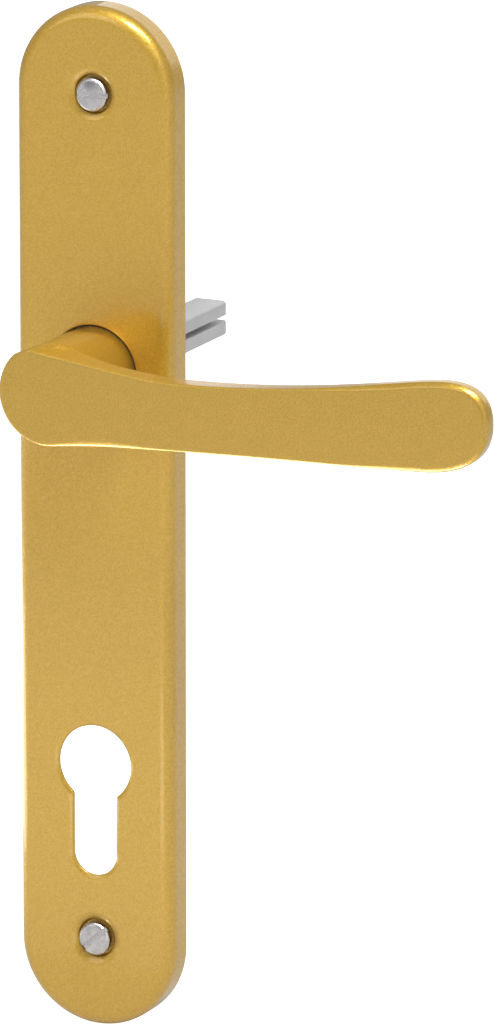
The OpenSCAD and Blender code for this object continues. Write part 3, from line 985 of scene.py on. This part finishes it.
def soft_light(name, place, aim, width, height, power, only=None):
    """Soft rectangular light pointed at a place, in metres, hidden from the camera.

    When only is given, the light falls on that object alone, as if flagged off from the rest."""
    lamp = bpy.data.lights.new(name, "AREA")
    lamp.shape = "RECTANGLE"
    lamp.size = width
    lamp.size_y = height
    lamp.energy = power
    made = bpy.data.objects.new(name, lamp)
    made.location = place
    made.rotation_mode = "QUATERNION"
    made.rotation_quaternion = (Vector(aim) - Vector(place)).to_track_quat("-Z", "Y")
    made.visible_camera = False
    bpy.context.scene.collection.objects.link(made)
    if only is not None:
        lit = bpy.data.collections.new(name + "_falls_on")
        lit.objects.link(only)
        made.light_linking.receiver_collection = lit


def table_light(name, x, y, lift, width, height, power, only):
    """Soft light just above the floor that faces up and falls on one object."""
    soft_light(name, (x, y, FLOOR + lift), (x, y, 1.0), width, height, power, only)


def white_room(seen, ambient):
    """World that the camera sees as plain white and that lights the object more softly."""
    world = bpy.data.worlds.new("white_room")
    world.use_nodes = True
    tree = world.node_tree
    background = tree.nodes["Background"]
    rays = tree.nodes.new("ShaderNodeLightPath")
    level = tree.nodes.new("ShaderNodeMapRange")
    tree.links.new(rays.outputs["Is Camera Ray"], level.inputs["Value"])
    level.inputs["To Min"].default_value = ambient
    level.inputs["To Max"].default_value = seen
    tree.links.new(level.outputs["Result"], background.inputs["Strength"])
    background.inputs["Color"].default_value = (1, 1, 1, 1)
    bpy.context.scene.world = world


def light_table(level, size, glow):
    """Pale floor that glows evenly, a little below the object's foot."""
    bm = bmesh.new()
    bmesh.ops.create_grid(bm, x_segments=4, y_segments=4, size=size)
    mesh = bpy.data.meshes.new("floor")
    bm.to_mesh(mesh)
    bm.free()
    floor = bpy.data.objects.new("floor", mesh)
    floor.location = (0, 0, level)
    bpy.context.scene.collection.objects.link(floor)
    s = Shader("pale_floor")
    s.set(Base_Color=(0.55, 0.55, 0.55, 1), Roughness=0.9, Emission_Color=(1, 1, 1, 1))
    rays = s.add("ShaderNodeLightPath")
    s.to("Emission Strength", s.spread(rays.outputs["Is Camera Ray"], glow, 1.0, 0.0, 1.0))
    mesh.materials.append(s.material)


def camera(azimuth, elevation, distance, aim, lens):
    """Camera at an angle round the object, aimed at a place, with its lens in millimetres."""
    a = math.radians(azimuth)
    e = math.radians(elevation)
    back = Vector((math.sin(a) * math.cos(e), -math.cos(a) * math.cos(e), math.sin(e)))
    data = bpy.data.cameras.new("camera")
    data.lens = lens
    data.sensor_width = SENSOR
    data.clip_start = 0.05
    data.clip_end = 50.0
    made = bpy.data.objects.new("camera", data)
    made.location = Vector(aim) + back * distance
    made.rotation_mode = "QUATERNION"
    made.rotation_quaternion = (-back).to_track_quat("-Z", "Y")
    bpy.context.scene.collection.objects.link(made)
    bpy.context.scene.camera = made


camera(VIEW_AZIMUTH, VIEW_ELEVATION, VIEW_DISTANCE, AIM, LENS)
white_room(WHITE, AMBIENT)
light_table(FLOOR, FLOOR_HALF, FLOOR_GLOW)

# Lights that fall on everything.
soft_light("key_left", (-0.9, -1.5, 0.9), AIM, 1.2, 1.2, 5.3)
soft_light("overhead_mid", (0.25, -0.42, 1.0), AIM, 0.2, 0.2, 3.2)
soft_light("overhead_right", (0.5, -0.5, 1.3), AIM, 1.0, 0.5, 13.0)
soft_light("fill_right", (1.4, -0.9, 0.5), AIM, 1.0, 1.4, 2.0)
soft_light("back_high", (0.03, 1.2, 0.4), AIM, 1.25, 0.7, 2.2)
soft_light("table_left", (-0.2, 0.1, FLOOR + TABLE_LIFT), (-0.15, 0.1, 1.0), 0.4, 0.3, 0.9)

# Small lights for one piece each: the line under the grip, the neck, the dimples, the plate's foot.
rim_place = (0.01, -0.065, FLOOR + RIM_LIFT)
soft_light("rim_glint", rim_place, (0.02, -0.03, 0.0), 0.2, 0.035, 0.22, only=cast_lever)
soft_light("neck_fill", (0.5, 0.1, 1.1), AIM, 0.6, 0.6, 3.0, only=cast_lever)
table_light("dimple_glint", 0.03, -0.22, DIMPLE_LIFT, 0.1, 0.14, 0.05, only=pressed_cover)
table_light("table_front", -0.1, -0.21, TABLE_LIFT, 0.34, 0.32, 0.07, only=pressed_cover)
bpy.context.scene.view_settings.view_transform = "Standard"
